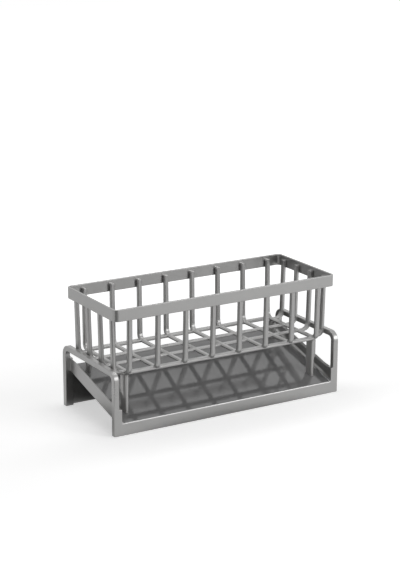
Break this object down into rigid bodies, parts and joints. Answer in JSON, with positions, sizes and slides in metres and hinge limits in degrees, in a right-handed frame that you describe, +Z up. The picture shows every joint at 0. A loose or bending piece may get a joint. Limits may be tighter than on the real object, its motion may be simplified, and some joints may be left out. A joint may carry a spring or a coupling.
{
  "type": "kitchen sink caddy",
  "caption": "Slatted plastic sink basket on plug-in legs, standing in a sloping drain tray with finger loops at both ends.",
  "frame": {"origin": "middle of the base, on the surface that the tray stands on", "axes": "+X along the length towards the right end, +Y from the low front edge of the tray to its high back, +Z up"},
  "size_m": [0.304, 0.1266, 0.1452],
  "materials": {
    "tray_plastic": "satin grey, with a smooth glossy floor",
    "basket_plastic": "satin metallic grey",
    "leg_plastic": "satin metallic grey"
  },
  "bodies": {
    "tray": {"drain_tray": "tray_plastic"},
    "lift_out_basket": {"basket": "basket_plastic", "front_left_leg": "leg_plastic", "front_right_leg": "leg_plastic", "rear_left_leg": "leg_plastic", "rear_right_leg": "leg_plastic"}
  },
  "joints": [
    {"name": "basket_lift", "type": "slide", "parent": "tray", "child": "lift_out_basket", "axis": [0, 0, 1], "range_m": [0, 0.08]}
  ]
}
